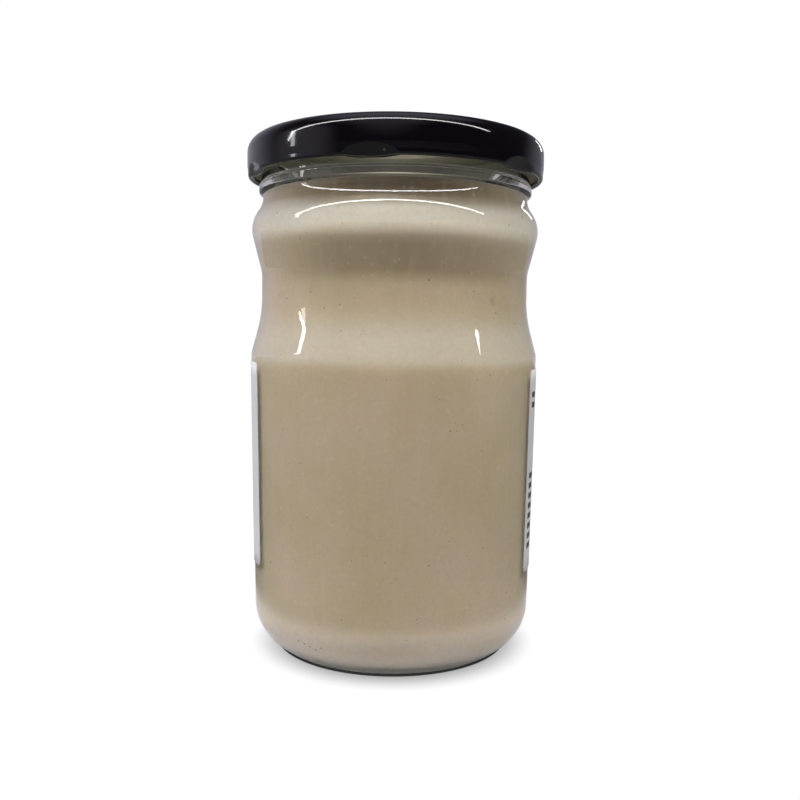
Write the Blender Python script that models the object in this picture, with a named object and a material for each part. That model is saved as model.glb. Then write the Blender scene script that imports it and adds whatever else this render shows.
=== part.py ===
"""A shut glass jar of creamed honey: a waisted jar, its honey, a twist-off lid and a wrap-round label.

Sizes are in millimetres, and every finished mesh is scaled to metres. The origin is on the table, under
the middle of the jar, with Z up. The front faces -Y, and azimuths turn from there towards +X.
"""

import math

import bmesh
import bpy
from mathutils import Vector

MM = 0.001

# How finely round shapes are cut into flat faces
JAR_SIDES = 48
LID_SIDES = 84
ARC_TOLERANCE = 0.09
WELD = 0.001
SHARP_ANGLE = math.radians(35)

# The clearance that touching pieces keep
GAP = 0.3

# Corners of the glass's outer outline from the foot up: radius, height and rounding
FOOT = (33.0, 0, 0)
HEEL = (40.15, 3.9, 13.0)
BODY_TOP = (41.45, 84.0, 5.5)
WAIST_LOW = (38.4, 95.2, 38.0)
WAIST_HIGH = (38.4, 106.9, 10.8)
SHOULDER = (41.9, 120.7, 8.6)
NECK_LOW = (38.05, 126.0, 7.0)
NECK_HIGH = (38.05, 128.6, 0.5)
BEAD_LOW = (39.2, 129.4, 0.6)
BEAD_HIGH = (39.2, 131.4, 0.5)
FINISH_FOOT = (38.6, 132.0, 0)
LIP = (38.6, 142.9, 0.9)

# The ring that the jar stands on starts here, and the base is hollowed inside it
STANDING_RING_R = 28.4
PUNT_R = 20.0
PUNT_RISE = 2.6
PUNT_DOME = 0.6

# The glass's thickness on its side and over the hollow, its inner heel, and its bore at the mouth
WALL = 2.5
BASE_WALL = 2.6
INNER_HEEL_Z = 2.2
INNER_HEEL_ROUND = 8.5
MOUTH_R = 36.0
BORE_FOOT_Z = 124.0
BORE_FOOT_ROUND = 3.0

# Corners of the inside, which runs a little lower at the shoulder and waist than an even wall would
INNER_SHOULDER = (38.9, 116.3, 6.0)
INNER_WAIST_HIGH = (35.9, 104.3, 20.0)
INNER_WAIST_LOW = (35.9, 93.0, 52.0)
INNER_BODY_TOP = (38.95, 81.5, 18.0)

# The threads that the lid's lugs turn under
LUG_COUNT = 6
THREAD_SPAN = math.radians(46)
THREAD_START_Z = 136.3
THREAD_CLIMB = 2.6
THREAD_HALF = 1.5
THREAD_OUT = 1.7
THREAD_ROWS = 7
THREAD_MARGIN = 0.5

# The honey stands this high, a little higher in the middle
HONEY_LEVEL = 130.0
HONEY_DOME = 0.5
HONEY_FLAT_SHARE = 0.7

# The lid: its sheet metal, its panel with a raised rim and a shallow button, and its rolled edge
LID_Z = 133.4
LID_R = 42.5
LID_HEIGHT = 11.0
LID_SHEET = 0.4
LID_CORNER = 4.0
RIM_R = 35.2
RIM_SLOPE = 1.1
PANEL_DROP = 1.4
BUTTON_R = 15.0
BUTTON_SLOPE = 1.5
BUTTON_RISE = 0.5
CURL = 1.5
CURL_SETBACK = 0.2

# The lugs pinched into the lid's rolled edge
FIRST_LUG = math.radians(-8.8)
LUG_HALF_SPAN = math.radians(9.5)
LUG_HEIGHT = 3.4
LUG_IN = 1.4
LUG_DIP = 0.35

# The label, wrapped round the far side from the right to the left, where it sits a little higher
LABEL_START = math.radians(66)
LABEL_END = math.radians(295)
LABEL_Z = 23.7
LABEL_HEIGHT = 57.2
LABEL_SHEET = 0.25
LABEL_CORNER = 2.0
LABEL_SKEW = 0.7
LABEL_COLUMNS = 34


def clear_scene():
    for thing in list(bpy.data.objects):
        bpy.data.objects.remove(thing)


def material(name, colour, roughness, metallic=0.0, transmission=0.0):
    made = bpy.data.materials.new(name)
    made.use_nodes = True
    shader = made.node_tree.nodes["Principled BSDF"]
    shader.inputs["Base Color"].default_value = (*colour, 1.0)
    shader.inputs["Roughness"].default_value = roughness
    shader.inputs["Metallic"].default_value = metallic
    shader.inputs["Transmission Weight"].default_value = transmission
    return made


def fillet(before, corner, after, radius):
    """The points of the arc that rounds a corner of an outline."""
    to_before = (before - corner).normalized()
    to_after = (after - corner).normalized()
    half = to_before.angle(to_after) / 2
    centre = corner + (to_before + to_after).normalized() * radius / math.sin(half)
    start = corner + to_before * radius / math.tan(half) - centre
    end = corner + to_after * radius / math.tan(half) - centre
    turn = -start.angle_signed(end)
    step = 2 * math.acos(1 - min(ARC_TOLERANCE / radius, 0.5))
    count = max(1, math.ceil(abs(turn) / step))
    points = []
    for k in range(count + 1):
        cos, sin = math.cos(turn * k / count), math.sin(turn * k / count)
        arm = Vector((start.x * cos - start.y * sin, start.x * sin + start.y * cos))
        points.append(centre + arm)
    return points


def rounded_outline(corners):
    """The points of an outline through corners of radius, height and rounding, in that order."""
    places = [Vector(corner[:2]) for corner in corners]
    points = [places[0]]
    for before, here, after, corner in zip(places, places[1:], places[2:], corners[1:]):
        points += fillet(before, here, after, corner[2]) if corner[2] else [here]
    return points + [places[-1]]


def turned(outline, sides):
    """The outline spun once round the Z axis."""
    bm = bmesh.new()
    verts = [bm.verts.new((point.x, 0, point.y)) for point in outline]
    edges = [bm.edges.new(pair) for pair in zip(verts, verts[1:])]
    bmesh.ops.spin(
        bm, geom=verts + edges, axis=(0, 0, 1), cent=(0, 0, 0),
        angle=math.tau, steps=sides, use_merge=True,
    )
    bmesh.ops.remove_doubles(bm, verts=bm.verts, dist=WELD)
    return bm


def finished_object(name, bm, surface, height, parent):
    """Makes the built faces an object in metres, shaded smooth, with its origin at that height."""
    bmesh.ops.recalc_face_normals(bm, faces=bm.faces)
    bmesh.ops.scale(bm, vec=(MM, MM, MM), verts=bm.verts)
    mesh = bpy.data.meshes.new(name)
    bm.to_mesh(mesh)
    bm.free()
    mesh.materials.append(surface)
    mesh.shade_smooth()
    mesh.set_sharp_from_angle(angle=SHARP_ANGLE)
    thing = bpy.data.objects.new(name, mesh)
    bpy.context.scene.collection.objects.link(thing)
    thing.parent = parent
    thing.location.z = height * MM
    return thing


def move_by(bm, shift):
    """Moves each vertex outwards and up by what shift(azimuth, radius, height) returns."""
    for vert in bm.verts:
        radius = math.hypot(vert.co.x, vert.co.y)
        if radius < WELD:
            continue
        azimuth = math.atan2(vert.co.x, -vert.co.y)
        out, up = shift(azimuth, radius, vert.co.z)
        vert.co.x *= 1 + out / radius
        vert.co.y *= 1 + out / radius
        vert.co.z += up


def from_nearest(azimuth, first):
    """The signed angle to this azimuth from the nearest of the evenly spaced lugs or threads."""
    pitch = math.tau / LUG_COUNT
    return (azimuth - first + pitch / 2) % pitch - pitch / 2


def thread_relief(azimuth, radius, height):
    """How far the glass threads stand out from the finish at a point of the jar."""
    along = from_nearest(azimuth, 0) / (THREAD_SPAN / 2)
    on_finish = radius > FINISH_FOOT[0] - THREAD_MARGIN and height > FINISH_FOOT[1]
    if abs(along) >= 1 or not on_finish:
        return 0, 0
    middle = THREAD_START_Z + THREAD_CLIMB * (along + 1) / 2
    across = max(0, 1 - abs(height - middle) / THREAD_HALF)
    taper = min(1, 3 * (1 - abs(along)))
    return THREAD_OUT * across * taper, 0


def lug_relief(azimuth, radius, height):
    """How far a lug pulls the lid's rolled edge in and down at a point of the lid."""
    away = abs(from_nearest(azimuth, FIRST_LUG)) / LUG_HALF_SPAN
    if away >= 1 or height >= LUG_HEIGHT:
        return 0, 0
    share = math.cos(away * math.pi / 2) ** 2 * (1 - height / LUG_HEIGHT)
    return -LUG_IN * min(1, 1.5 * share), -LUG_DIP * share


def punt():
    """The hollow under the base, from its middle to the ring that the jar stands on."""
    return [(0, PUNT_RISE + PUNT_DOME, 0), (PUNT_R, PUNT_RISE, 0), (STANDING_RING_R, 0, 0)]


def thread_rows():
    """Level rows up the finish, close enough together to carry the threads."""
    bottom = THREAD_START_Z - THREAD_HALF - THREAD_MARGIN
    top = THREAD_START_Z + THREAD_CLIMB + THREAD_HALF + THREAD_MARGIN
    step = (top - bottom) / THREAD_ROWS
    return [(LIP[0], bottom + step * k, 0) for k in range(THREAD_ROWS + 1)]


def inset(corner, distance, bulges):
    """A corner moved in, its rounding tighter where the outline bulges and wider where it dips."""
    radius, height, rounding = corner
    return radius - distance, height, rounding + (-distance if bulges else distance)


def inner_wall(distance):
    """Corners of the glass's inside at that distance from its outside, from the bore to the heel."""
    beyond = distance - WALL
    return [
        inset(INNER_SHOULDER, beyond, True),
        inset(INNER_WAIST_HIGH, beyond, False),
        inset(INNER_WAIST_LOW, beyond, False),
        inset(INNER_BODY_TOP, beyond, True),
        (HEEL[0] - distance, INNER_HEEL_Z + beyond, INNER_HEEL_ROUND - beyond),
    ]


def inner_floor(clearance):
    """The glass's inner floor, which follows the hollow below it, raised by a clearance."""
    edge_z = PUNT_RISE + BASE_WALL + clearance
    return [(PUNT_R, edge_z, 0), (0, edge_z + PUNT_DOME, 0)]


def make_glass(parent):
    clear = material("clear_glass", (0.93, 0.95, 0.93), 0.02, transmission=1.0)
    outside = [FOOT, HEEL, BODY_TOP, WAIST_LOW, WAIST_HIGH, SHOULDER, NECK_LOW, NECK_HIGH]
    finish = [BEAD_LOW, BEAD_HIGH, FINISH_FOOT] + thread_rows() + [LIP]
    bore = [(MOUTH_R, LIP[1], LIP[2]), (MOUTH_R, BORE_FOOT_Z, BORE_FOOT_ROUND)]
    corners = punt() + outside + finish + bore + inner_wall(WALL) + inner_floor(0)
    bm = turned(rounded_outline(corners), JAR_SIDES)
    move_by(bm, thread_relief)
    return finished_object("jar_glass", bm, clear, 0, parent)


def make_honey(parent):
    """The glass's inner wall drawn in by the gap, and cut off at the honey's level."""
    creamed = material("creamed_honey", (0.40, 0.31, 0.20), 0.45)
    honey_r = MOUTH_R - GAP
    top_z = HONEY_LEVEL + HONEY_DOME
    top = [(0, top_z, 0), (honey_r * HONEY_FLAT_SHARE, top_z, 0), (honey_r, HONEY_LEVEL, 0)]
    neck = [(honey_r, BORE_FOOT_Z, BORE_FOOT_ROUND)]
    corners = top + neck + inner_wall(WALL + GAP) + inner_floor(GAP)
    bm = turned(rounded_outline(corners), JAR_SIDES)
    return finished_object("honey", bm, creamed, 0, parent)


def lid_top(under):
    """Corners of the lid's button, panel and rim from the middle out, that far under its top face."""
    rim_z = LID_HEIGHT - under
    panel_z = rim_z - PANEL_DROP
    button_z = panel_z + BUTTON_RISE
    return [
        (0, button_z, 0),
        (BUTTON_R - BUTTON_SLOPE, button_z, 0),
        (BUTTON_R, panel_z, 0),
        (RIM_R + under, panel_z, 0),
        (RIM_R + RIM_SLOPE + under, rim_z, 0),
        (LID_R - under, rim_z, LID_CORNER - under),
    ]


def rolled_edge():
    """Corners of the lid's skirt, down its outside, round the rolled edge and up its inside."""
    roll_out = LID_R - CURL_SETBACK
    inside = LID_R - LID_SHEET
    return [
        (LID_R, LUG_HEIGHT, 0),
        (roll_out, CURL, 0),
        (roll_out, 0, CURL / 2),
        (roll_out - CURL, 0, CURL / 2),
        (roll_out - CURL, CURL, 0),
        (inside - CURL_SETBACK, CURL + LID_SHEET, 0),
        (inside, LUG_HEIGHT, 0),
    ]


def make_lid(parent):
    black = material("black_lacquer", (0.012, 0.010, 0.016), 0.12, metallic=0.3)
    corners = lid_top(0) + rolled_edge() + lid_top(LID_SHEET)[::-1]
    bm = turned(rounded_outline(corners), LID_SIDES)
    move_by(bm, lug_relief)
    return finished_object("lid", bm, black, LID_Z, parent)


def body_radius(height):
    """The glass's outer radius at a height on its straight, slightly tapered side."""
    share = (height - HEEL[1]) / (BODY_TOP[1] - HEEL[1])
    return HEEL[0] + (BODY_TOP[0] - HEEL[0]) * share


def label_columns(length):
    """Distances along the label, closest together at its ends, where its corners are rounded."""
    steps = [LABEL_CORNER * (1 - math.cos(math.radians(30 * k))) for k in range(3)]
    pitch = (length - 2 * LABEL_CORNER) / LABEL_COLUMNS
    middle = [LABEL_CORNER + pitch * k for k in range(LABEL_COLUMNS + 1)]
    return steps + middle + [length - step for step in reversed(steps)]


def label_column(bm, along, length):
    """The label's lower and upper corner at a distance along it."""
    beyond = LABEL_CORNER - min(along, length - along, LABEL_CORNER)
    cut = LABEL_CORNER - math.sqrt(LABEL_CORNER**2 - beyond**2)
    azimuth = LABEL_START + (LABEL_END - LABEL_START) * along / length
    lift = LABEL_SKEW * (2 * along / length - 1)
    pair = []
    for level in (cut, LABEL_HEIGHT - cut):
        radius = body_radius(LABEL_Z + level) + GAP
        x, y = radius * math.sin(azimuth), -radius * math.cos(azimuth)
        pair.append(bm.verts.new((x, y, level + lift)))
    return pair


def make_label(parent):
    """A thin sheet with rounded corners, bent round the jar's tapered side."""
    paper = material("label_paper", (0.80, 0.79, 0.74), 0.6)
    length = (LABEL_END - LABEL_START) * body_radius(LABEL_Z + LABEL_HEIGHT / 2)
    bm = bmesh.new()
    pairs = [label_column(bm, along, length) for along in label_columns(length)]
    for (low, high), (next_low, next_high) in zip(pairs, pairs[1:]):
        bm.faces.new((low, next_low, next_high, high))
    label = finished_object("label", bm, paper, LABEL_Z, parent)
    thicken = label.modifiers.new("paper thickness", "SOLIDIFY")
    thicken.thickness = LABEL_SHEET * MM
    thicken.offset = 1
    return label


def main():
    clear_scene()
    jar = bpy.data.objects.new("honey_jar", None)
    bpy.context.scene.collection.objects.link(jar)
    make_glass(jar)
    make_honey(jar)
    make_lid(jar)
    make_label(jar)


main()
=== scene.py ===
"""The looks of a shut jar of creamed honey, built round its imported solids.

Sizes are in millimetres until a mesh is made, and azimuths turn from the front, -Y, towards +X.
"""

import math

import bpy
from mathutils import Euler, Matrix, Vector

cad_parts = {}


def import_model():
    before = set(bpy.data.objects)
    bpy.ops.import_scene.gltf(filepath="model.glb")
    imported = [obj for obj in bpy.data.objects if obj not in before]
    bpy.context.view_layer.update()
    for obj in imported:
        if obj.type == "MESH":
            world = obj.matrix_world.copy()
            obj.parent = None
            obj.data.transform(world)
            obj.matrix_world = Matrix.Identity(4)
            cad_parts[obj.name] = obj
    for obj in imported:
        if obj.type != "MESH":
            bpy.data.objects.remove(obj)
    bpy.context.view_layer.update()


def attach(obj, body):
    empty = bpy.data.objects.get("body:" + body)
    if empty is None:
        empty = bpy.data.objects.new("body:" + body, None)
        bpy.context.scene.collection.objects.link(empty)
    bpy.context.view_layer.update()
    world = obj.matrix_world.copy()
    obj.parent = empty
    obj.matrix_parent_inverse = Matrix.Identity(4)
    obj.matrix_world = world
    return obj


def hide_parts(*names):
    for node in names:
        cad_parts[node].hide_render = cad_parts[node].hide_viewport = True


MM = 0.001

# The photograph's frame, and the camera that took it
PHOTO_SIDE_PX = 800
FOCAL_PX = 880
SENSOR_WIDTH = 36
NEAREST_SEEN = 10
CAMERA_DISTANCE = 260
CAMERA_HEIGHT = 89.8
CAMERA_PITCH = 4.29
CAMERA_YAW = 0.436
CAMERA_ROLL = 0.65

# Corners of the glass's outer outline from the foot up: radius, height and rounding
FOOT = (33.0, 0, 0.5)
HEEL = (40.15, 3.9, 13.0)
BODY_TOP = (41.45, 84.0, 5.5)
WAIST_LOW = (38.4, 95.2, 38.0)
WAIST_HIGH = (38.4, 106.9, 10.8)
SHOULDER = (41.9, 120.7, 8.6)
NECK_LOW = (38.05, 126.0, 7.0)
NECK_HIGH = (38.05, 128.6, 0.5)
BEAD_LOW = (39.2, 129.4, 0.6)
BEAD_HIGH = (39.2, 131.4, 0.5)
FINISH_FOOT = (38.6, 132.0, 0.4)
LIP = (38.6, 142.9, 0.9)
STANDING_RING = (28.4, 0, 0.5)
PUNT_R = 20.0
PUNT_RISE = 2.6
PUNT_DOME = 0.6
PUNT_ROUND, INNER_PUNT_ROUND = 12.0, 9.0

# The glass's inside, which runs a little lower than an even wall would
WALL = 2.5
BASE_WALL = 2.6
INNER_HEEL_Z = 2.2
INNER_HEEL_ROUND = 8.5
INNER_SHOULDER = (38.9, 116.3, 6.0)
INNER_WAIST_HIGH = (35.9, 104.3, 20.0)
INNER_WAIST_LOW = (35.9, 93.0, 52.0)
INNER_BODY_TOP = (38.95, 81.5, 18.0)
SIDE_ROWS_FROM, SIDE_ROWS_TO = 13.0, 78.0
MOUTH_R = 36.0
BORE_FOOT_Z = 124.0
BORE_FOOT_ROUND = 3.0
WALL_BITE = 0.15

# How finely each outline is turned
GLASS_TURN = {"Sides": 180, "Arc Steps": 12}
HONEY_TURN = {"Sides": 480, "Arc Steps": 16}
GRAIN_TURN = {"Sides": 96, "Arc Steps": 8}
LID_TURN = {"Sides": 360, "Arc Steps": 7}
LATHE_R = 10
WELD_DISTANCE = 0.002

# Reliefs: the threads on the glass, the lugs in the lid's edge that turn under them, and a
# pocket of air that is pressed into the honey
LUG_COUNT = 6
THREADS = {
    "Count": LUG_COUNT, "First Azimuth": 0.0, "Half Span": math.radians(23),
    "Middle Height": 137.6 * MM, "Climb": 2.6 * MM, "Half Height": 1.5 * MM,
    "Edge": 0.8, "Softness": 1.0, "Depth": 1.7 * MM, "Dip": 0.0, "Least Radius": 37.8 * MM,
}
LUGS = {
    "Count": LUG_COUNT, "First Azimuth": math.radians(-8.8), "Half Span": math.radians(10.6),
    "Middle Height": 133.4 * MM, "Climb": 0.0, "Half Height": 2.8 * MM,
    "Edge": 0.9, "Softness": 0.15, "Depth": -1.3 * MM, "Dip": 0.45 * MM, "Least Radius": 0.0,
}
AIR_POCKET = {
    "Count": 1, "First Azimuth": math.radians(44), "Half Span": math.radians(2.0),
    "Middle Height": 98.2 * MM, "Climb": -0.9 * MM, "Half Height": 1.9 * MM,
    "Edge": 0.8, "Softness": 0.7, "Depth": -0.55 * MM, "Dip": 0.0, "Least Radius": 30 * MM,
}
THREAD_LOW_Z, THREAD_HIGH_Z, THREAD_ROWS = 134.0, 141.2, 22

# The first and last of the mould's dots on the heel: azimuth, radius and height
HEEL_DOTS = ((-38, 39.8, 8.2), (-30.2, 39.08, 6.6))
DOT_STEP = 1.75
DOT_R = 0.3

# The honey
HONEY_LEVEL = 130.0
HONEY_DOME = 0.5
HONEY_DOME_SHARE = 0.8
HONEY_DOME_ROUND, HONEY_EDGE_ROUND = 8.0, 0.4
HONEY_ROWS = 30

# Bands of painted sheen and painted shade on the honey: the height where each starts, and the height
# where it is full
HONEY_PAINTED_LIGHT_BANDS = {
    "shoulder": (111.5, 120.5), "neck": (120.6, 125.4), "flank": (98, 88), "body": (83.5, 80.5),
    "heel": (15, 8), "over waist": (101, 107), "under shoulder": (116, 112),
    "over shoulder": (120.8, 123.2), "under bead": (128.4, 126.8),
}
# The way that the honey's painted shade faces, and how far round from it that shade fades out
PAINTED_SHADE_FRONT = (0.12, -1, 0)
PAINTED_SHADE_FRONT_EDGE = 0.45

# Grains in the honey's wall: how they are scattered, and how far a wall may lean to carry them
GRAINS = {
    "pale_bubbles": {
        "Density": 13000, "Seed": 3, "Smallest": 0.09 * MM, "Largest": 0.22 * MM, "Flatness": 0.55,
    },
    "dark_specks": {
        "Density": 14000, "Seed": 8, "Smallest": 0.07 * MM, "Largest": 0.19 * MM, "Flatness": 0.6,
    },
}
GRAIN_TOP_Z = 121
GRAIN_LEAN = 0.75
GRAIN_STRETCH = 1.3

# The lid
LID_Z = 133.4
LID_TOP_Z = 144.4
LID_R = 42.5
LID_SHEET = 0.4
LID_CORNER = 4.0
LUG_ZONE = 3.4
LUG_ROWS = 12
RIM_R = 35.2
RIM_SLOPE = 1.1
PANEL_DROP = 1.4
BUTTON_R = 15.0
BUTTON_SLOPE = 1.5
BUTTON_RISE = 0.5
CURL = 1.5
CURL_ROUND, CURL_LIP_ROUND = 0.72, 0.45
CURL_SETBACK = 0.2

# The label, wrapped round the far side from the right to the left
LABEL_START = math.radians(66)
LABEL_END = math.radians(295)
LABEL_Z = 23.7
LABEL_HEIGHT = 57.2
LABEL_PAPER = 0.22
LABEL_OFF_GLASS = 0.04
LABEL_CORNER = 2.0
LABEL_SKEW = 0.7
LABEL_COLUMNS, LABEL_ROWS = 200, 16
CORNER_STEPS = 6

# The label's print: places along it from its right end, and levels up it
PRINT_FIELD = (12, 152)
PRINT_LEVELS = (5, 52)
BAND_HEIGHT = 5
PLAIN_PANEL = (62, 106)
PANEL_LEVELS = (17, 44)
HONEYCOMB_CELL = 7.5
HONEYCOMB_LINE = 0.46
HONEYCOMB_INK = 0.7
DASHES = (2.2, 7.0)
DASH_STEP = 2.87
DASH_LEVELS = (5.8, 28.6)
HIGH_DASH_LEVELS = (45.8, 52)
DASH_SHARE = (0.22, 0.78)

# The floor: radii where its painted shade under the jar ends and where it turns far, its looks from
# there, and the painted shadow and painted contact ring round the jar
FLOOR_SIZE = 4000
UNDER_JAR_SHADE_FADES = (30, 38)
FLOOR_IS_FAR = (60, 80)
FAR_FLOOR_GLOW = 0.1
FAR_FLOOR_MIRRORED = 0.22
SEEN_THROUGH_GLASS = 0.5
SHADOW_FADES = (30, 44.5)
SHADOW_CENTRE = (0.4, -1.8)
SHADOW_SQUEEZE = 1.03
SHADOW_SHARE = 0.65
CONTACT_SHADE_RING_R = 34.9
CONTACT_SHADE_RING_SHARE = 0.97
PAPER_WHITE = 1.02

# The long tube lamp whose reflection draws the lines of light on the glass
TUBE_LEFT = (-2470, -172, 623)
TUBE_RIGHT = (1260, -378, 623)
TUBE_AIM_Z = 100
TUBE_WIDTH = 60
TUBE_POWER = 11.8

# Light that leaks into the space under the lid
HEADSPACE_Z = 135
HEADSPACE_LAMP_R = 8
HEADSPACE_POWER = 0.0056

# Lamps aimed at the jar: azimuth, elevation, distance, width, height, power, mirrored or not, blue
AIM_HEIGHT = 130
AIMED_LAMPS = {
    "window_lamp": (-79, 13, 550, 34, 120, 0.08, True, 1.0),
    "rear_window_lamp": (145, 18, 550, 30, 90, 0.06, True, 1.0),
    "left_fill": (-90, 25, 600, 500, 400, 1.42, False, 1.25),
    "right_fill": (92, 25, 600, 500, 400, 0.99, False, 1.1),
}

# The room's light, and its soft glows: direction, angles where each starts and is full, strength
ROOM_LIGHT = 0.03
ROOM_TINT = (0.97, 0.94, 1.1)
WORLD_GLOWS = (
    ((-0.5, 1.0, -0.15), 66, 20, 0.42),
    ((0.75, 1.0, -0.15), 40, 12, 0.25),
    ((-1.0, -0.3, 0.15), 32, 6, 0.36),
    ((-0.1, -0.75, 0.65), 34, 4, 0.3),
    ((0.0, 0.0, 1.0), 40, 8, 0.5),
    ((0.0, 0.0, -1.0), 93, 84, 0.25),
)


def add_node(tree, kind, inputs=None, **settings):
    """Adds a node with these settings, its inputs filled with values or other nodes' sockets."""
    made = tree.nodes.new(kind)
    for name, value in settings.items():
        setattr(made, name, value)
    for name, value in (inputs or {}).items():
        if isinstance(value, bpy.types.NodeSocket):
            tree.links.new(value, made.inputs[name])
        else:
            made.inputs[name].default_value = value
    return made


def calculate(tree, operation, *terms):
    """The result of one math node."""
    return add_node(tree, "ShaderNodeMath", dict(enumerate(terms)), operation=operation).outputs[0]


def product(tree, first, *others):
    """Two or more numbers multiplied."""
    for other in others:
        first = calculate(tree, "MULTIPLY", first, other)
    return first


def rest_of(tree, share):
    """What a share leaves of one."""
    return calculate(tree, "SUBTRACT", 1.0, share)


def vector_math(tree, operation, *terms):
    """The result of one vector math node: a number where it measures, or else a vector."""
    made = add_node(tree, "ShaderNodeVectorMath", dict(enumerate(terms)), operation=operation)
    measures = operation in ("LENGTH", "DISTANCE", "DOT_PRODUCT")
    return made.outputs["Value" if measures else "Vector"]


def scaled(tree, vector, factor):
    """A vector times a number."""
    return add_node(
        tree, "ShaderNodeVectorMath", {0: vector, "Scale": factor}, operation="SCALE"
    ).outputs[0]


def split(tree, vector):
    """The three parts of a vector."""
    return add_node(tree, "ShaderNodeSeparateXYZ", {"Vector": vector}).outputs


def ramp(tree, value, start, end, top=1.0):
    """A soft step, from nothing where a value is at the start to the top where it is at the end."""
    return add_node(
        tree, "ShaderNodeMapRange",
        {"Value": value, "From Min": start, "From Max": end, "To Max": top},
        interpolation_type="SMOOTHSTEP",
    ).outputs[0]


def blended(tree, share, first, second):
    """A colour that share of the way from one to another, each a socket or a plain colour."""
    ends = [end if isinstance(end, bpy.types.NodeSocket) else (*end, 1) for end in (first, second)]
    return add_node(
        tree, "ShaderNodeMix", {0: share, 6: ends[0], 7: ends[1]}, data_type="RGBA"
    ).outputs[2]


def new_group(name, kind, inputs, outputs):
    """An empty node group with these sockets, and its input and output nodes."""
    group = bpy.data.node_groups.new(name, kind)
    for direction, sockets in (("INPUT", inputs), ("OUTPUT", outputs)):
        for socket_name, socket_kind in sockets.items():
            group.interface.new_socket(
                socket_name, in_out=direction, socket_type="NodeSocket" + socket_kind
            )
    return group, group.nodes.new("NodeGroupInput").outputs, group.nodes.new("NodeGroupOutput").inputs


def finish_geometry(tree, geometry, surface, result):
    """Ends a geometry tree: faces smooth, instances made real, and the material set."""
    smooth = add_node(tree, "GeometryNodeSetShadeSmooth", {"Geometry": geometry})
    real = add_node(tree, "GeometryNodeRealizeInstances", {"Geometry": smooth.outputs[0]})
    dressed = add_node(
        tree, "GeometryNodeSetMaterial", {"Geometry": real.outputs[0], "Material": surface}
    )
    tree.links.new(dressed.outputs[0], result)


def turned_outline_tree():
    """Rounds the corners of an outline, radius along X and height along Y, and turns it round Z."""
    tree, given, result = new_group(
        "turned outline", "GeometryNodeTree",
        {"Geometry": "Geometry", "Sides": "Int", "Arc Steps": "Int", "Material": "Material"},
        {"Geometry": "Geometry"},
    )
    line = add_node(tree, "GeometryNodeMeshToCurve", {"Mesh": given["Geometry"]})
    rounding = add_node(
        tree, "GeometryNodeInputNamedAttribute", {"Name": "rounding"}, data_type="FLOAT"
    )
    rounded = add_node(
        tree, "GeometryNodeFilletCurve",
        {"Curve": line.outputs[0], "Count": given["Arc Steps"], "Radius": rounding.outputs[0]},
        mode="POLY",
    )
    upright = add_node(
        tree, "GeometryNodeTransform",
        {"Geometry": rounded.outputs[0], "Translation": (-LATHE_R * MM, 0, 0), "Scale": (1, -1, 1)},
    )
    lathe = add_node(
        tree, "GeometryNodeCurvePrimitiveCircle",
        {"Resolution": given["Sides"], "Radius": LATHE_R * MM},
    )
    turned = add_node(
        tree, "GeometryNodeCurveToMesh",
        {"Curve": lathe.outputs[0], "Profile Curve": upright.outputs[0]},
    )
    closed = add_node(
        tree, "GeometryNodeMergeByDistance",
        {"Geometry": turned.outputs[0], "Distance": WELD_DISTANCE * MM},
    )
    finish_geometry(tree, closed.outputs[0], given["Material"], result["Geometry"])
    return tree


def ring_relief_tree():
    """Raises or pinches one rounded shape at even steps round a turned piece."""
    tree, given, result = new_group(
        "relief round a ring", "GeometryNodeTree",
        {
            "Geometry": "Geometry", "Count": "Float", "First Azimuth": "Float",
            "Half Span": "Float", "Middle Height": "Float", "Climb": "Float",
            "Half Height": "Float", "Edge": "Float", "Softness": "Float", "Depth": "Float",
            "Dip": "Float", "Least Radius": "Float", "Material": "Material",
        },
        {"Geometry": "Geometry"},
    )
    x, y, z = split(tree, add_node(tree, "GeometryNodeInputPosition").outputs[0])
    azimuth = calculate(tree, "ARCTAN2", x, product(tree, y, -1.0))
    half_pitch = calculate(tree, "DIVIDE", math.pi, given["Count"])
    away = calculate(
        tree, "WRAP", calculate(tree, "SUBTRACT", azimuth, given["First Azimuth"]),
        half_pitch, product(tree, half_pitch, -1.0),
    )
    along = calculate(tree, "DIVIDE", away, given["Half Span"])
    climbed = product(tree, along, 0.5, given["Climb"])
    middle = calculate(tree, "ADD", given["Middle Height"], climbed)
    up = calculate(tree, "ABSOLUTE", calculate(tree, "SUBTRACT", z, middle))
    inside = calculate(
        tree, "SUBTRACT", rest_of(tree, product(tree, along, along)),
        calculate(tree, "DIVIDE", up, given["Half Height"]),
    )
    straight, soft = (
        add_node(
            tree, "ShaderNodeMapRange", {"Value": inside, "From Max": given["Edge"]},
            interpolation_type=kind,
        ).outputs[0]
        for kind in ("LINEAR", "SMOOTHSTEP")
    )
    share = add_node(tree, "ShaderNodeMix", {0: given["Softness"], 2: straight, 3: soft}).outputs[0]
    flat = add_node(tree, "ShaderNodeCombineXYZ", {"X": x, "Y": y}).outputs[0]
    outer = calculate(tree, "GREATER_THAN", vector_math(tree, "LENGTH", flat), given["Least Radius"])
    strength = product(tree, share, outer)
    push = scaled(tree, vector_math(tree, "NORMALIZE", flat), product(tree, strength, given["Depth"]))
    drop = add_node(
        tree, "ShaderNodeCombineXYZ", {"Z": product(tree, strength, given["Dip"], -1.0)}
    ).outputs[0]
    moved = add_node(
        tree, "GeometryNodeSetPosition",
        {"Geometry": given["Geometry"], "Offset": vector_math(tree, "ADD", push, drop)},
    )
    finish_geometry(tree, moved.outputs[0], given["Material"], result["Geometry"])
    return tree


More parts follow.
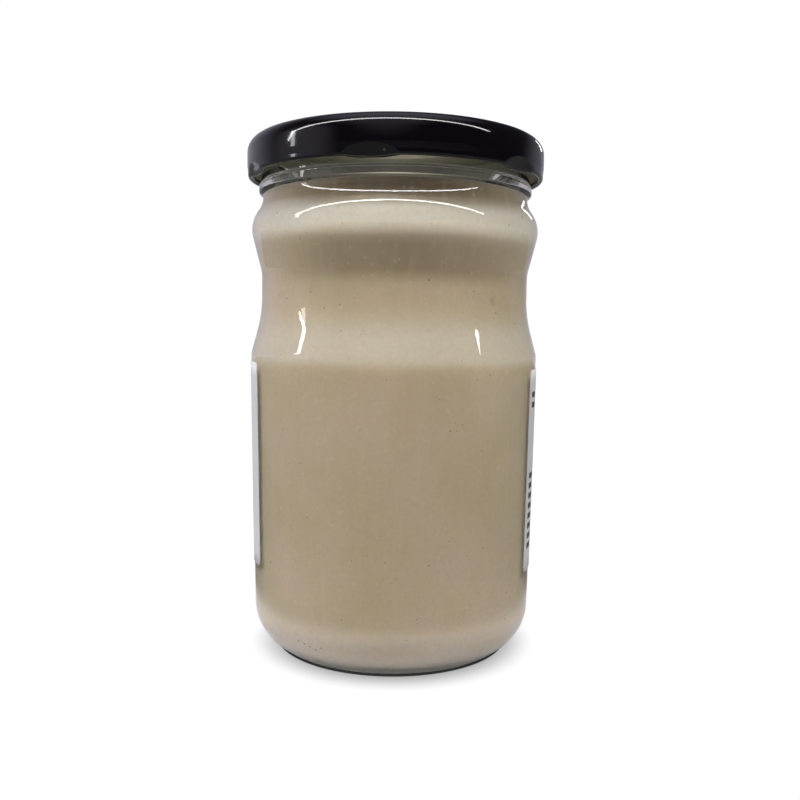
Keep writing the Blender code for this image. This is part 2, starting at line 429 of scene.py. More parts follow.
def inside_finish_tree():
    """Gives the points that an outline marks as its lining a finish of their own."""
    tree, given, result = new_group(
        "inside finish", "GeometryNodeTree",
        {"Geometry": "Geometry", "Material": "Material"}, {"Geometry": "Geometry"},
    )
    real = add_node(tree, "GeometryNodeRealizeInstances", {"Geometry": given["Geometry"]})
    lining = add_node(
        tree, "GeometryNodeInputNamedAttribute", {"Name": "lining"}, data_type="FLOAT"
    ).outputs[0]
    dressed = add_node(
        tree, "GeometryNodeSetMaterial",
        {
            "Geometry": real.outputs[0], "Selection": calculate(tree, "GREATER_THAN", lining, 0.5),
            "Material": given["Material"],
        },
    )
    tree.links.new(dressed.outputs[0], result["Geometry"])
    return tree


def scattered_tree():
    """Scatters small uneven grains over the upright wall of a piece."""
    tree, given, result = new_group(
        "grains in a wall", "GeometryNodeTree",
        {
            "Geometry": "Geometry", "Density": "Float", "Seed": "Int", "Smallest": "Float",
            "Largest": "Float", "Flatness": "Float", "Top": "Float", "Material": "Material",
        },
        {"Geometry": "Geometry"},
    )
    lean = split(tree, add_node(tree, "GeometryNodeInputNormal").outputs[0])[2]
    height = split(tree, add_node(tree, "GeometryNodeInputPosition").outputs[0])[2]
    upright = calculate(tree, "LESS_THAN", calculate(tree, "ABSOLUTE", lean), GRAIN_LEAN)
    below = calculate(tree, "LESS_THAN", height, given["Top"])
    points = add_node(
        tree, "GeometryNodeDistributePointsOnFaces",
        {
            "Mesh": given["Geometry"], "Density": given["Density"], "Seed": given["Seed"],
            "Selection": product(tree, upright, below),
        },
    )
    size = add_node(
        tree, "FunctionNodeRandomValue",
        {2: given["Smallest"], 3: given["Largest"], "Seed": given["Seed"]}, data_type="FLOAT",
    ).outputs[1]
    proportions = add_node(
        tree, "ShaderNodeCombineXYZ", {"X": 1.0, "Y": GRAIN_STRETCH, "Z": given["Flatness"]}
    ).outputs[0]
    grain = add_node(tree, "GeometryNodeMeshIcoSphere", {"Radius": 1.0, "Subdivisions": 2})
    placed = add_node(
        tree, "GeometryNodeInstanceOnPoints",
        {
            "Points": points.outputs["Points"], "Instance": grain.outputs[0],
            "Rotation": points.outputs["Rotation"], "Scale": scaled(tree, proportions, size),
        },
    )
    finish_geometry(tree, placed.outputs[0], given["Material"], result["Geometry"])
    return tree


def beads_on_path_tree():
    """Sets one small bead at every step along a path."""
    tree, given, result = new_group(
        "beads on a path", "GeometryNodeTree",
        {"Geometry": "Geometry", "Step": "Float", "Bead Radius": "Float", "Material": "Material"},
        {"Geometry": "Geometry"},
    )
    path = add_node(tree, "GeometryNodeMeshToCurve", {"Mesh": given["Geometry"]})
    points = add_node(
        tree, "GeometryNodeResampleCurve", {"Curve": path.outputs[0], "Length": given["Step"]},
        mode="LENGTH",
    )
    bead = add_node(
        tree, "GeometryNodeMeshIcoSphere", {"Radius": given["Bead Radius"], "Subdivisions": 3}
    )
    placed = add_node(
        tree, "GeometryNodeInstanceOnPoints",
        {"Points": points.outputs[0], "Instance": bead.outputs[0]},
    )
    finish_geometry(tree, placed.outputs[0], given["Material"], result["Geometry"])
    return tree


def line_mesh(name, points, **values):
    """A mesh of edges through points in millimetres, each with these values of its own."""
    mesh = bpy.data.meshes.new(name)
    mesh.from_pydata(
        [Vector(point) * MM for point in points], [(i, i + 1) for i in range(len(points) - 1)], []
    )
    for value_name, each in values.items():
        mesh.attributes.new(value_name, "FLOAT", "POINT").data.foreach_set("value", each)
    return mesh


def outline_mesh(name, corners, lining_from=None):
    """An outline's corners as a line, the last ones marked as lining where it has one."""
    points = [(radius, height, 0) for radius, height, rounding in corners]
    values = {"rounding": [rounding * MM for radius, height, rounding in corners]}
    if lining_from is not None:
        values["lining"] = [float(place >= lining_from) for place in range(len(corners))]
    return line_mesh(name, points, **values)


def made_by_trees(name, start, *steps):
    """Runs a mesh through node trees, each with its own inputs, and makes the result a plain piece."""
    source = bpy.data.objects.new(name + "_source", start)
    bpy.context.scene.collection.objects.link(source)
    for tree, values in steps:
        modifier = source.modifiers.new(tree.name, "NODES")
        modifier.node_group = tree
        inputs = [item for item in tree.interface.items_tree if item.in_out == "INPUT"]
        sockets = {item.name: item.identifier for item in inputs}
        for socket_name, value in values.items():
            modifier[sockets[socket_name]] = value
    evaluated = source.evaluated_get(bpy.context.evaluated_depsgraph_get())
    mesh = bpy.data.meshes.new_from_object(evaluated)
    bpy.data.objects.remove(source)
    return placed_piece(name, mesh)


def placed_piece(name, data):
    """A new object of that mesh, lamp or camera."""
    data.name = name
    piece = bpy.data.objects.new(name, data)
    bpy.context.scene.collection.objects.link(piece)
    return piece


def join_to_jar(piece, slot, *nodes):
    """The piece moves with the jar and stands for the CAD nodes, which it hides; the slot is not used.
    """
    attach(piece, "root")
    if nodes:
        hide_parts(*nodes)


def rows_between(start, end, count):
    """Square corners spread evenly between two places on an outline, without its ends."""
    radius, height = start[:2]
    across, up = end[0] - radius, end[1] - height
    shares = [k / (count + 1) for k in range(1, count + 1)]
    return [(radius + across * share, height + up * share, 0) for share in shares]


def inner_wall(distance, rows=0):
    """Corners of the glass's inside at that distance from its outside, from the bore to the heel."""
    beyond = distance - WALL
    corners = [INNER_SHOULDER, INNER_WAIST_HIGH, INNER_WAIST_LOW, INNER_BODY_TOP]
    upper = [(radius - beyond, height, rounding) for radius, height, rounding in corners]
    heel = (HEEL[0] - distance, INNER_HEEL_Z + beyond, INNER_HEEL_ROUND - beyond)
    side = rows_between(upper[-1], heel, rows)
    return upper + [row for row in side if SIDE_ROWS_FROM < row[1] < SIDE_ROWS_TO] + [heel]


def inner_floor(clearance):
    """The glass's inner floor, which follows the hollow below it, raised by a clearance."""
    edge_z = PUNT_RISE + BASE_WALL + clearance
    return [(PUNT_R, edge_z, INNER_PUNT_ROUND), (0, edge_z + PUNT_DOME, 0)]


def glass_corners():
    """The glass's whole outline, up its inside and down its outside to the hollow of its base."""
    punt = [(0, PUNT_RISE + PUNT_DOME, 0), (PUNT_R, PUNT_RISE, PUNT_ROUND), STANDING_RING]
    body = [FOOT, HEEL, BODY_TOP, WAIST_LOW, WAIST_HIGH, SHOULDER]
    neck = [NECK_LOW, NECK_HIGH, BEAD_LOW, BEAD_HIGH]
    low, high = (LIP[0], THREAD_LOW_Z), (LIP[0], THREAD_HIGH_Z)
    finish = [FINISH_FOOT, *rows_between(low, high, THREAD_ROWS), LIP]
    bore = [(MOUTH_R, LIP[1], LIP[2]), (MOUTH_R, BORE_FOOT_Z, BORE_FOOT_ROUND)]
    return (punt + body + neck + finish + bore + inner_wall(WALL) + inner_floor(0))[::-1]


def honey_corners():
    """The honey's outline from the middle of its top down to the middle of its floor."""
    radius = MOUTH_R + WALL_BITE
    dome_z = HONEY_LEVEL + HONEY_DOME
    top = [(0, dome_z, 0), (radius * HONEY_DOME_SHARE, dome_z, HONEY_DOME_ROUND)]
    edge = [(radius, HONEY_LEVEL, HONEY_EDGE_ROUND), (radius, BORE_FOOT_Z, BORE_FOOT_ROUND)]
    return top + edge + inner_wall(WALL - WALL_BITE, HONEY_ROWS) + inner_floor(-WALL_BITE)


def honey_wall_corners():
    """The honey's outline from the foot of the bore down to the edge of the base's hollow."""
    return honey_corners()[3:-1]


def lid_top(under):
    """Corners of the lid's button, panel and rim from the middle out, that far under its top face."""
    rim_z = LID_TOP_Z - under
    panel_z = rim_z - PANEL_DROP
    button_z = panel_z + BUTTON_RISE
    return [
        (0, button_z, 0),
        (BUTTON_R - BUTTON_SLOPE, button_z, 0.8),
        (BUTTON_R, panel_z, 0.8),
        (RIM_R + under, panel_z, 0.5),
        (RIM_R + RIM_SLOPE + under, rim_z, 0.7),
        (LID_R - under, rim_z, LID_CORNER - under),
    ]


def rolled_edge():
    """Corners of the lid's skirt, down its outside, round the rolled edge and up its inside."""
    roll_out = LID_R - CURL_SETBACK
    inside = LID_R - LID_SHEET
    lug_top = LID_Z + LUG_ZONE
    down = [(LID_R, lug_top, 0), (roll_out, LID_Z + CURL, 0.6)]
    roll = [
        (roll_out, LID_Z, CURL_ROUND),
        (roll_out - CURL, LID_Z, CURL_ROUND),
        (roll_out - CURL, LID_Z + CURL, CURL_LIP_ROUND),
    ]
    up = [(inside - CURL_SETBACK, LID_Z + CURL + LID_SHEET, 0.2), (inside, lug_top, 0)]
    return [
        down[0], *rows_between(*down, LUG_ROWS), down[1], *roll,
        up[0], *rows_between(*up, LUG_ROWS), up[1],
    ]


def uneven_group():
    """A slow unevenness of a surface, as a mask, stretched as the scale vector says."""
    group, given, result = new_group(
        "soft unevenness", "ShaderNodeTree",
        {"Scale": "Vector", "Detail": "Float", "Roughness": "Float", "Low": "Float", "High": "Float"},
        {"Mask": "Float"},
    )
    place = add_node(group, "ShaderNodeTexCoord").outputs["Object"]
    clouds = add_node(
        group, "ShaderNodeTexNoise",
        {
            "Vector": vector_math(group, "MULTIPLY", place, given["Scale"]), "Scale": 1.0,
            "Detail": given["Detail"], "Roughness": given["Roughness"],
        },
    ).outputs[0]
    group.links.new(ramp(group, clouds, given["Low"], given["High"]), result["Mask"])
    return group


def speck_group():
    """Small scattered specks, as a mask: cells of that size, of which only a few hold a speck."""
    group, given, result = new_group(
        "scattered specks", "ShaderNodeTree",
        {"Scale": "Float", "Speck Size": "Float", "Share": "Float"}, {"Mask": "Float"},
    )
    place = add_node(group, "ShaderNodeTexCoord").outputs["Object"]
    cells = add_node(group, "ShaderNodeTexVoronoi", {"Vector": place, "Scale": given["Scale"]})
    near = calculate(group, "LESS_THAN", cells.outputs["Distance"], given["Speck Size"])
    pick = add_node(group, "ShaderNodeSeparateColor", {"Color": cells.outputs["Color"]}).outputs[0]
    chosen = calculate(group, "LESS_THAN", pick, given["Share"])
    group.links.new(product(group, near, chosen), result["Mask"])
    return group


def masked(tree, group, **inputs):
    """The mask that a group gives with these inputs, whose names have underscores for spaces."""
    values = {name.replace("_", " "): value for name, value in inputs.items()}
    return add_node(tree, "ShaderNodeGroup", values, node_tree=group).outputs[0]


def bumped(tree, height, depth):
    """A normal for a height mask that stands that many millimetres deep."""
    return add_node(tree, "ShaderNodeBump", {"Height": height, "Distance": depth * MM}).outputs[0]


def mixed_shaders(tree, share, first, second):
    """A shader that share of the way from one to another."""
    return add_node(tree, "ShaderNodeMixShader", {0: share, 1: first, 2: second}).outputs[0]


def new_surface(name, **inputs):
    """A material, its tree and its Principled shader with these plain values."""
    surface = bpy.data.materials.new(name)
    surface.use_nodes = True
    tree = surface.node_tree
    shader = tree.nodes["Principled BSDF"]
    for socket_name, value in inputs.items():
        shader.inputs[socket_name.replace("_", " ")].default_value = value
    return surface, tree, shader


def clear_glass(uneven):
    """Clear, faintly green glass, a little wavy as pressed glass is, that lets the lamps through."""
    surface, tree, shader = new_surface(
        "clear_glass", Base_Color=(0.965, 0.985, 0.97, 1), Roughness=0.01, IOR=1.52,
        Transmission_Weight=1.0,
    )
    waves = masked(tree, uneven, Scale=(55, 55, 40), Detail=1.0, Roughness=0.4, Low=0.2, High=0.8)
    tree.links.new(bumped(tree, waves, 0.09), shader.inputs["Normal"])
    see_through = add_node(tree, "ShaderNodeBsdfTransparent", {"Color": (0.93, 0.95, 0.93, 1)})
    shadow_ray = add_node(tree, "ShaderNodeLightPath").outputs["Is Shadow Ray"]
    mixed = mixed_shaders(tree, shadow_ray, shader.outputs[0], see_through.outputs[0])
    tree.links.new(mixed, tree.nodes["Material Output"].inputs["Surface"])
    return surface


def honey_painted_light(tree):
    """Masks of the honey's bands of painted sheen and painted shade, each with the colour that it turns
    the honey to.

    Painted sheen pales it over the shoulder and the waist's lower flank, and warm and pale at the heel,
    and painted shade darkens it round the neck, in the groove under the bead and at the front of the
    hollow under the shoulder.
    """
    place = add_node(tree, "ShaderNodeTexCoord").outputs["Object"]
    height = split(tree, place)[2]
    band = {
        name: ramp(tree, height, start * MM, end * MM) for name, (start, end) in HONEY_PAINTED_LIGHT_BANDS.items()
    }
    outwards = vector_math(tree, "NORMALIZE", vector_math(tree, "MULTIPLY", place, (1, 1, 0)))
    # How far the honey faces the front, where its painted shade lies
    front = ramp(tree, vector_math(tree, "DOT_PRODUCT", outwards, PAINTED_SHADE_FRONT), PAINTED_SHADE_FRONT_EDGE, 1.0)
    # Painted sheen over the shoulder, and at half strength over the waist's lower flank
    pressed = product(tree, band["shoulder"], 0.85)
    waist = product(tree, calculate(tree, "SUBTRACT", band["flank"], band["body"]), 0.5)
    # Painted shade at the front of the hollow under the shoulder, and in the groove under the bead
    hollow = product(tree, band["over waist"], band["under shoulder"], front, 0.5)
    painted_groove_shade = product(tree, band["over shoulder"], front, band["under bead"], 0.5)
    # Each mask with its colour: painted sheen, painted sheen at the heel, and painted shade in the
    # hollow, round the neck and in the groove
    return (
        (calculate(tree, "MAXIMUM", pressed, waist), (0.74, 0.69, 0.61)),
        (product(tree, band["heel"], 0.9), (0.84, 0.72, 0.57)),
        (hollow, (0.33, 0.25, 0.15)),
        (product(tree, band["neck"], 0.68), (0.36, 0.26, 0.14)),
        (painted_groove_shade, (0.16, 0.10, 0.04)),
    )


def creamed_honey(uneven, specks):
    """Opaque pale honey, clouded in soft patches and fine upright streaks, with painted sheen and shade
    in bands.
    """
    surface, tree, shader = new_surface(
        "creamed_honey", Roughness=0.6, Specular_IOR_Level=0.05, Subsurface_Weight=0.5,
        Subsurface_Scale=2.4 * MM, Subsurface_Radius=(1.0, 0.75, 0.4),
    )
    clouds, blotches, streaks, grain = (
        masked(tree, uneven, Scale=scale, Detail=detail, Roughness=0.6, Low=low, High=high)
        for scale, detail, low, high in (
            ((38, 38, 30), 4.0, 0.35, 0.68), ((70, 70, 60), 3.0, 0.4, 0.62),
            ((420, 420, 26), 3.0, 0.45, 0.8), ((900, 900, 900), 2.0, 0.3, 0.7),
        )
    )
    pale = masked(tree, specks, Scale=520.0, Speck_Size=0.22, Share=0.2)
    colour = blended(tree, clouds, (0.575, 0.478, 0.316), (0.645, 0.533, 0.388))
    # The honey's own patches, streaks and grain, with its painted sheen and painted shade laid over in
    # between
    tones = (
        (product(tree, blotches, 0.3), (0.635, 0.495, 0.37)),
        *honey_painted_light(tree),
        (product(tree, streaks, 0.22), (0.68, 0.60, 0.46)),
        (product(tree, grain, 0.12), (0.40, 0.32, 0.2)),
        (product(tree, pale, 0.25), (0.72, 0.64, 0.5)),
    )
    for share, shade in tones:
        colour = blended(tree, share, colour, shade)
    tree.links.new(colour, shader.inputs["Base Color"])
    return surface


def black_lacquer(uneven, specks):
    """Glossy black lacquer with a breath of violet, faint waves and a few specks of dust."""
    surface, tree, shader = new_surface(
        "black_lacquer", Roughness=0.1, IOR=1.5, Coat_Weight=0.15, Coat_Roughness=0.03,
    )
    dust = masked(tree, specks, Scale=330.0, Speck_Size=0.14, Share=0.07)
    colour = blended(tree, dust, (0.0035, 0.0024, 0.0044), (0.11, 0.09, 0.08))
    tree.links.new(colour, shader.inputs["Base Color"])
    waves = masked(tree, uneven, Scale=(150, 150, 150), Detail=2.0, Roughness=0.5, Low=0.2, High=0.8)
    gloss = add_node(
        tree, "ShaderNodeMapRange", {"Value": waves, "To Min": 0.05, "To Max": 0.12}
    ).outputs[0]
    tree.links.new(gloss, shader.inputs["Roughness"])
    tree.links.new(bumped(tree, waves, 0.02), shader.inputs["Normal"])
    return surface


def lid_lining(uneven):
    """The pale, satin lining of the lid's inside."""
    surface, tree, shader = new_surface("lid_lining", Roughness=0.35)
    clouds = masked(tree, uneven, Scale=(200, 200, 200), Detail=3.0, Roughness=0.5, Low=0.3, High=0.7)
    colour = blended(tree, clouds, (0.62, 0.60, 0.50), (0.50, 0.49, 0.40))
    tree.links.new(colour, shader.inputs["Base Color"])
    return surface


def grain_surface(name, uneven, first, second):
    """A bubble's or a speck's finish, which differs a little from grain to grain."""
    surface, tree, shader = new_surface(name, Roughness=0.5, Specular_IOR_Level=0.2)
    shades = masked(tree, uneven, Scale=(600, 600, 600), Detail=1.0, Roughness=0.5, Low=0.35, High=0.65)
    tree.links.new(blended(tree, shades, first, second), shader.inputs["Base Color"])
    return surface


def band_mask(tree, value, start, end):
    """One where a value lies between two limits."""
    above = calculate(tree, "GREATER_THAN", value, start)
    return product(tree, above, calculate(tree, "LESS_THAN", value, end))


def honeycomb_group():
    """Lines of a honeycomb of that cell width, as a mask, over a place in millimetres."""
    group, given, result = new_group(
        "honeycomb lines", "ShaderNodeTree", {"Place": "Vector", "Cell": "Float"}, {"Mask": "Float"}
    )
    steps = scaled(group, given["Place"], calculate(group, "DIVIDE", 1.0, given["Cell"]))
    half_row = math.sqrt(3) / 2
    reaches = []
    for shift in ((0, 0, 0), (0.5, half_row, 0)):
        moved = vector_math(group, "ADD", steps, shift)
        local = vector_math(group, "WRAP", moved, (0.5, half_row, 1), (-0.5, -half_row, -1))
        across = vector_math(group, "ABSOLUTE", local)
        slanted = vector_math(group, "DOT_PRODUCT", across, (0.5, half_row, 0))
        reaches.append(calculate(group, "MAXIMUM", slanted, split(group, across)[0]))
    nearest = calculate(group, "MINIMUM", *reaches)
    group.links.new(calculate(group, "GREATER_THAN", nearest, HONEYCOMB_LINE), result["Mask"])
    return group


def label_paper(uneven, honeycomb):
    """Matt white paper, printed with an amber field, a honeycomb, a band, a panel and dashes."""
    surface, tree, shader = new_surface("label_paper", Roughness=0.5)
    place = add_node(tree, "ShaderNodeUVMap", uv_map="label_mm").outputs[0]
    along, level = split(tree, place)[:2]
    tooth = masked(tree, uneven, Scale=(1400, 1400, 1400), Detail=3.0, Roughness=0.6, Low=0.3, High=0.7)
    colour = blended(tree, tooth, (0.84, 0.83, 0.79), (0.80, 0.79, 0.75))
    field, panel = (
        product(tree, band_mask(tree, along, *places), band_mask(tree, level, *levels))
        for places, levels in ((PRINT_FIELD, PRINT_LEVELS), (PLAIN_PANEL, PANEL_LEVELS))
    )
    combed = product(
        tree, field, masked(tree, honeycomb, Place=place, Cell=HONEYCOMB_CELL), HONEYCOMB_INK
    )
    foot = product(tree, field, calculate(tree, "LESS_THAN", level, PRINT_LEVELS[0] + BAND_HEIGHT))
    dash_step = calculate(tree, "FRACT", calculate(tree, "DIVIDE", level, DASH_STEP))
    ruled = calculate(
        tree, "MAXIMUM", band_mask(tree, level, *DASH_LEVELS), band_mask(tree, level, *HIGH_DASH_LEVELS)
    )
    dashes = product(
        tree, band_mask(tree, along, *DASHES), band_mask(tree, dash_step, *DASH_SHARE), ruled
    )
    for share, shade in (
        (field, (0.72, 0.40, 0.06)), (combed, (0.90, 0.66, 0.22)), (foot, (0.13, 0.06, 0.02)),
        (panel, (0.86, 0.82, 0.70)), (dashes, (0.03, 0.028, 0.025)),
    ):
        colour = blended(tree, share, colour, shade)
    tree.links.new(colour, shader.inputs["Base Color"])
    tree.links.new(bumped(tree, tooth, 0.01), shader.inputs["Normal"])
    return surface


def make_glass(turned, relief, surface):
    """The hollow glass, with its threads raised on the neck."""
    glass = made_by_trees(
        "jar_of_glass", outline_mesh("glass_outline", glass_corners()),
        (turned, {**GLASS_TURN, "Material": surface}),
        (relief, {**THREADS, "Material": surface}),
    )
    join_to_jar(glass, "clear_glass", "jar_glass")


def make_grains(turned, scattered, surfaces):
    """Small bubbles and dark specks in the honey that the glass is pressed against."""
    for name, scattering in GRAINS.items():
        surface = surfaces[name]
        grains = made_by_trees(
            name, outline_mesh(name + "_outline", honey_wall_corners()),
            (turned, {**GRAIN_TURN, "Material": surface}),
            (scattered, {**scattering, "Top": GRAIN_TOP_Z * MM, "Material": surface}),
        )
        join_to_jar(grains, "creamed_honey")


def at_azimuth(azimuth, radius, height):
    """The point at that azimuth from the front, radius from the jar's axis and height."""
    return Vector((radius * math.sin(azimuth), -radius * math.cos(azimuth), height))


def make_heel_dots(beads, surface):
    """A row of small dots that the mould left on the heel."""
    path = [at_azimuth(math.radians(azimuth), *place) for azimuth, *place in HEEL_DOTS]
    dots = made_by_trees(
        "mould_dots", line_mesh("mould_dots_path", path),
        (beads, {"Step": DOT_STEP * MM, "Bead Radius": DOT_R * MM, "Material": surface}),
    )
    join_to_jar(dots, "clear_glass")


def make_honey(turned, relief, surface):
    """The honey, which bites a little into the glass so that no gap shows between them."""
    honey = made_by_trees(
        "creamed_honey_fill", outline_mesh("honey_outline", honey_corners()),
        (turned, {**HONEY_TURN, "Material": surface}),
        (relief, {**AIR_POCKET, "Material": surface}),
    )
    join_to_jar(honey, "creamed_honey", "honey")


def make_lid(turned, relief, lined, surface, lining):
    """The pressed lid with its lugs, lined from the inside of its skirt inwards."""
    outside = lid_top(0) + rolled_edge()
    inside = lid_top(LID_SHEET)[::-1]
    lining_from = len(outside) - (LUG_ROWS + 2)
    lid = made_by_trees(
        "twist_off_lid", outline_mesh("lid_outline", outside + inside, lining_from),
        (turned, {**LID_TURN, "Material": surface}),
        (relief, {**LUGS, "Material": surface}),
        (lined, {"Material": lining}),
    )
    join_to_jar(lid, "black_lacquer", "lid")


def body_radius(height):
    """The glass's outer radius at a height on its straight, slightly tapered side."""
    share = (height - HEEL[1]) / (BODY_TOP[1] - HEEL[1])
    return HEEL[0] + (BODY_TOP[0] - HEEL[0]) * share


def make_label(surface):
    """Thin paper with rounded corners, bent round the jar's tapered side."""
    length = (LABEL_END - LABEL_START) * body_radius(LABEL_Z + LABEL_HEIGHT / 2)
    turns = [math.radians(90 * k / CORNER_STEPS) for k in range(CORNER_STEPS)]
    steps = [LABEL_CORNER * (1 - math.cos(turn)) for turn in turns]
    straight = length - 2 * LABEL_CORNER
    middle = [LABEL_CORNER + straight * k / LABEL_COLUMNS for k in range(LABEL_COLUMNS + 1)]
    alongs = steps + middle + [length - step for step in reversed(steps)]
    verts, faces, places = [], [], []
    for along in alongs:
        beyond = LABEL_CORNER - min(along, length - along, LABEL_CORNER)
        cut = LABEL_CORNER - math.sqrt(LABEL_CORNER**2 - beyond**2)
        azimuth = LABEL_START + (LABEL_END - LABEL_START) * along / length
        lift = LABEL_SKEW * (2 * along / length - 1)
        for row in range(LABEL_ROWS + 1):
            level = cut + (LABEL_HEIGHT - 2 * cut) * row / LABEL_ROWS
            radius = body_radius(LABEL_Z + level) + LABEL_OFF_GLASS
            verts.append(at_azimuth(azimuth, radius, LABEL_Z + level + lift) * MM)
            places.append((along, level))
    for column in range(len(alongs) - 1):
        for row in range(LABEL_ROWS):
            first = column * (LABEL_ROWS + 1) + row
            beside = first + LABEL_ROWS + 1
            faces.append((first, beside, beside + 1, first + 1))
    mesh = bpy.data.meshes.new("label")
    mesh.from_pydata(verts, [], faces)
    layer = mesh.uv_layers.new(name="label_mm")
    for loop in mesh.loops:
        layer.data[loop.index].uv = places[loop.vertex_index]
    mesh.shade_smooth()
    mesh.materials.append(surface)
    label = placed_piece("paper_label", mesh)
    thicken = label.modifiers.new("paper", "SOLIDIFY")
    thicken.thickness = LABEL_PAPER * MM
    thicken.offset = 1
    join_to_jar(label, "label_paper", "label")


def seen_through_glass(tree):
    """The light path, and whether a ray has come from the camera through glass and nothing else."""
    path = add_node(tree, "ShaderNodeLightPath").outputs
    bounced = calculate(tree, "GREATER_THAN", path["Diffuse Depth"], 0.5)
    return path, product(tree, path["Is Transmission Ray"], rest_of(tree, bounced))


def glow(tree, strength):
    """White light of that strength from a surface."""
    return add_node(tree, "ShaderNodeEmission", {"Strength": strength}).outputs[0]


def make_floor():
    """A floor that is white to the camera, with the jar's shadow and a dark contact ring painted on,
    and dimmer to everything else, with painted shade under the jar.
    """
    mesh = bpy.data.meshes.new("floor")
    half = FLOOR_SIZE / 2 * MM
    corners = [(-half, -half, 0), (half, -half, 0), (half, half, 0), (-half, half, 0)]
    mesh.from_pydata(corners, [], [(0, 1, 2, 3)])
    surface, tree, shader = new_surface("white_sweep", Roughness=0.9, Specular_IOR_Level=0.0)
    place = add_node(tree, "ShaderNodeTexCoord").outputs["Object"]
    away = vector_math(tree, "LENGTH", place)
    squeezed = vector_math(tree, "MULTIPLY", place, (SHADOW_SQUEEZE, 1, 1))
    from_shadow = vector_math(tree, "DISTANCE", squeezed, (*(Vector(SHADOW_CENTRE) * MM), 0))
    far, clear_of_under_shade, clear = (
        ramp(tree, reach, start * MM, end * MM)
        for reach, (start, end) in (
            (away, FLOOR_IS_FAR), (away, UNDER_JAR_SHADE_FADES), (from_shadow, SHADOW_FADES),
        )
    )
    # Painted shade under the jar: near black to everything but the camera, white beyond it
    shaded_near_colour = blended(tree, clear_of_under_shade, (0.1, 0.1, 0.1), (0.86, 0.86, 0.87))
    tree.links.new(shaded_near_colour, shader.inputs["Base Color"])
    path, first_glass = seen_through_glass(tree)
    beyond = add_node(
        tree, "ShaderNodeMix", {0: path["Is Glossy Ray"], 2: FAR_FLOOR_GLOW, 3: FAR_FLOOR_MIRRORED}
    ).outputs[0]
    lit = mixed_shaders(tree, far, shader.outputs[0], glow(tree, beyond))
    behind = glow(tree, product(tree, far, SEEN_THROUGH_GLASS))
    # Painted contact shade: a near-black ring under the jar's foot, seen as a dark line along the base
    under = calculate(tree, "LESS_THAN", vector_math(tree, "LENGTH", squeezed), CONTACT_SHADE_RING_R * MM)
    # Painted shadow round the jar and the painted contact ring, which only the camera sees
    shade = calculate(
        tree, "MAXIMUM", product(tree, rest_of(tree, clear), SHADOW_SHARE),
        product(tree, under, CONTACT_SHADE_RING_SHARE),
    )
    seen = glow(tree, product(tree, rest_of(tree, shade), PAPER_WHITE))
    unseen = mixed_shaders(tree, first_glass, lit, behind)
    mixed = mixed_shaders(tree, path["Is Camera Ray"], unseen, seen)
    tree.links.new(mixed, tree.nodes["Material Output"].inputs["Surface"])
    mesh.materials.append(surface)
    placed_piece("floor", mesh)


def placed_lamp(name, data, power):
    """A lamp that shows neither to the camera nor through the glass."""
    data.energy = power
    lamp = placed_piece(name, data)
    lamp.visible_camera = False
    lamp.visible_transmission = False
    return lamp


def area_lamp(name, width, height, power):
    """A rectangular lamp of that size."""
    data = bpy.data.lights.new(name, "AREA")
    data.shape = "RECTANGLE"
    data.size, data.size_y = width * MM, height * MM
    return placed_lamp(name, data, power)


def make_tube_lamp():
    """One long straight lamp over and in front of the jar."""
    left, right = Vector(TUBE_LEFT), Vector(TUBE_RIGHT)
    along = right - left
    middle = (left + right) / 2
    towards = Vector((0, 0, TUBE_AIM_Z)) - middle
    facing = (towards - along * towards.dot(along) / along.length_squared).normalized()
    across = along.cross(facing).normalized()
    lamp = area_lamp("tube_lamp", along.length, TUBE_WIDTH, TUBE_POWER)
    turn = Matrix((along.normalized(), -across, -facing)).transposed().to_4x4()
    lamp.matrix_world = Matrix.Translation(middle * MM) @ turn


def make_small_lamps():
    """Light that leaks in under the lid, two narrow windows, and soft light from the sides."""
    data = bpy.data.lights.new("headspace_lamp", "POINT")
    data.shadow_soft_size = HEADSPACE_LAMP_R * MM
    headspace = placed_lamp("headspace_lamp", data, HEADSPACE_POWER)
    headspace.location = (0, 0, HEADSPACE_Z * MM)
    headspace.visible_glossy = False
    for name, (azimuth, elevation, distance, width, height, *rest) in AIMED_LAMPS.items():
        power, mirrored, blue = rest
        lamp = area_lamp(name, width, height, power)
        lamp.data.color = (1, 1, blue)
        away = Vector((0, -1, 0))
        away.rotate(Euler((-math.radians(elevation), 0, math.radians(azimuth))))
        lamp.location = (Vector((0, 0, AIM_HEIGHT)) + away * distance) * MM
        lamp.rotation_euler = away.to_track_quat("Z", "Y").to_euler()
        lamp.visible_glossy = mirrored


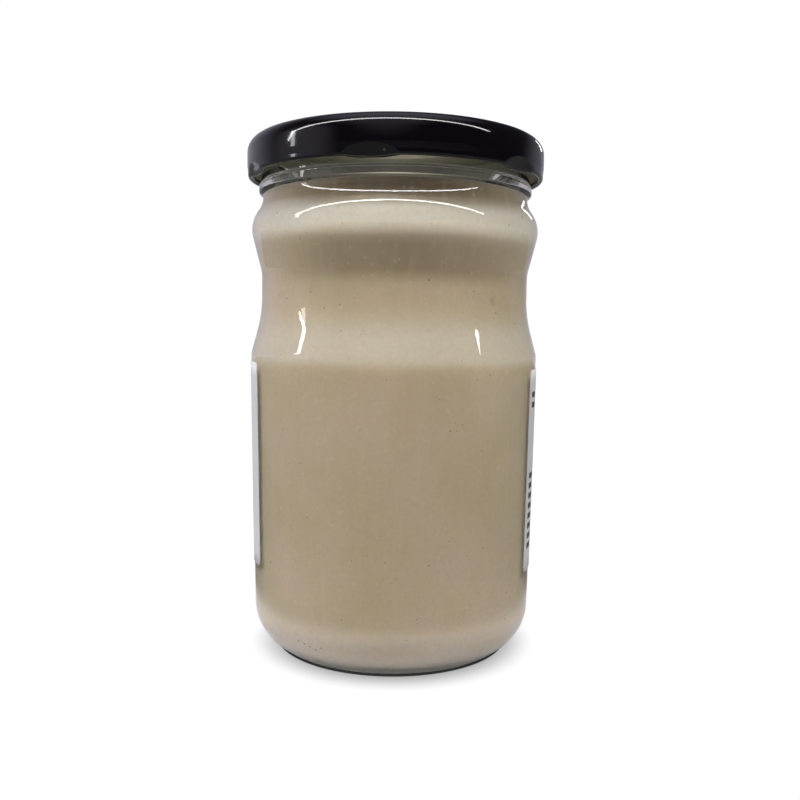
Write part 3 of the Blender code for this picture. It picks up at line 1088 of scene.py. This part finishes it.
def make_surroundings():
    """White to the camera; to everything else a bluish room, dark in front and bright behind."""
    world = bpy.data.worlds.new("studio")
    bpy.context.scene.world = world
    world.use_nodes = True
    tree = world.node_tree
    toward = add_node(tree, "ShaderNodeTexCoord").outputs["Generated"]
    lit = ROOM_LIGHT
    for direction, *angles, strength in WORLD_GLOWS:
        aligned = vector_math(tree, "DOT_PRODUCT", toward, Vector(direction).normalized())
        start, end = (math.cos(math.radians(angle)) for angle in angles)
        lit = calculate(tree, "ADD", lit, ramp(tree, aligned, start, end, strength))
    path, first_glass = seen_through_glass(tree)
    once = product(tree, lit, rest_of(tree, path["Is Transmission Ray"]))
    through = product(tree, first_glass, SEEN_THROUGH_GLASS)
    strength = add_node(
        tree, "ShaderNodeMix",
        {0: path["Is Camera Ray"], 2: calculate(tree, "ADD", once, through), 3: PAPER_WHITE},
    ).outputs[0]
    tint = blended(tree, path["Is Camera Ray"], ROOM_TINT, (1, 1, 1))
    tree.links.new(strength, tree.nodes["Background"].inputs["Strength"])
    tree.links.new(tint, tree.nodes["Background"].inputs["Color"])


def make_camera():
    """The photograph's camera, in front of the jar and a little above its middle."""
    data = bpy.data.cameras.new("camera")
    data.sensor_width = SENSOR_WIDTH
    data.lens = SENSOR_WIDTH * FOCAL_PX / PHOTO_SIDE_PX
    data.clip_start = NEAREST_SEEN * MM
    camera = placed_piece("camera", data)
    camera.matrix_world = (
        Matrix.Translation(Vector((0, -CAMERA_DISTANCE, CAMERA_HEIGHT)) * MM)
        @ Matrix.Rotation(math.radians(-CAMERA_YAW), 4, "Z")
        @ Matrix.Rotation(math.radians(90 - CAMERA_PITCH), 4, "X")
        @ Matrix.Rotation(math.radians(CAMERA_ROLL), 4, "Z")
    )
    bpy.context.scene.camera = camera


def main():
    """Loads the solids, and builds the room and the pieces."""
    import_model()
    bpy.context.scene.view_settings.view_transform = "Standard"
    turned, relief = turned_outline_tree(), ring_relief_tree()
    uneven, specks = uneven_group(), speck_group()
    make_camera()
    make_floor()
    make_tube_lamp()
    make_small_lamps()
    make_surroundings()
    glass = clear_glass(uneven)
    make_glass(turned, relief, glass)
    make_honey(turned, relief, creamed_honey(uneven, specks))
    make_heel_dots(beads_on_path_tree(), glass)
    make_grains(turned, scattered_tree(), {
        "pale_bubbles": grain_surface("pale_bubble", uneven, (0.52, 0.43, 0.29), (0.58, 0.49, 0.35)),
        "dark_specks": grain_surface("dark_speck", uneven, (0.20, 0.14, 0.08), (0.42, 0.33, 0.21)),
    })
    make_lid(turned, relief, inside_finish_tree(), black_lacquer(uneven, specks), lid_lining(uneven))
    make_label(label_paper(uneven, honeycomb_group()))


main()
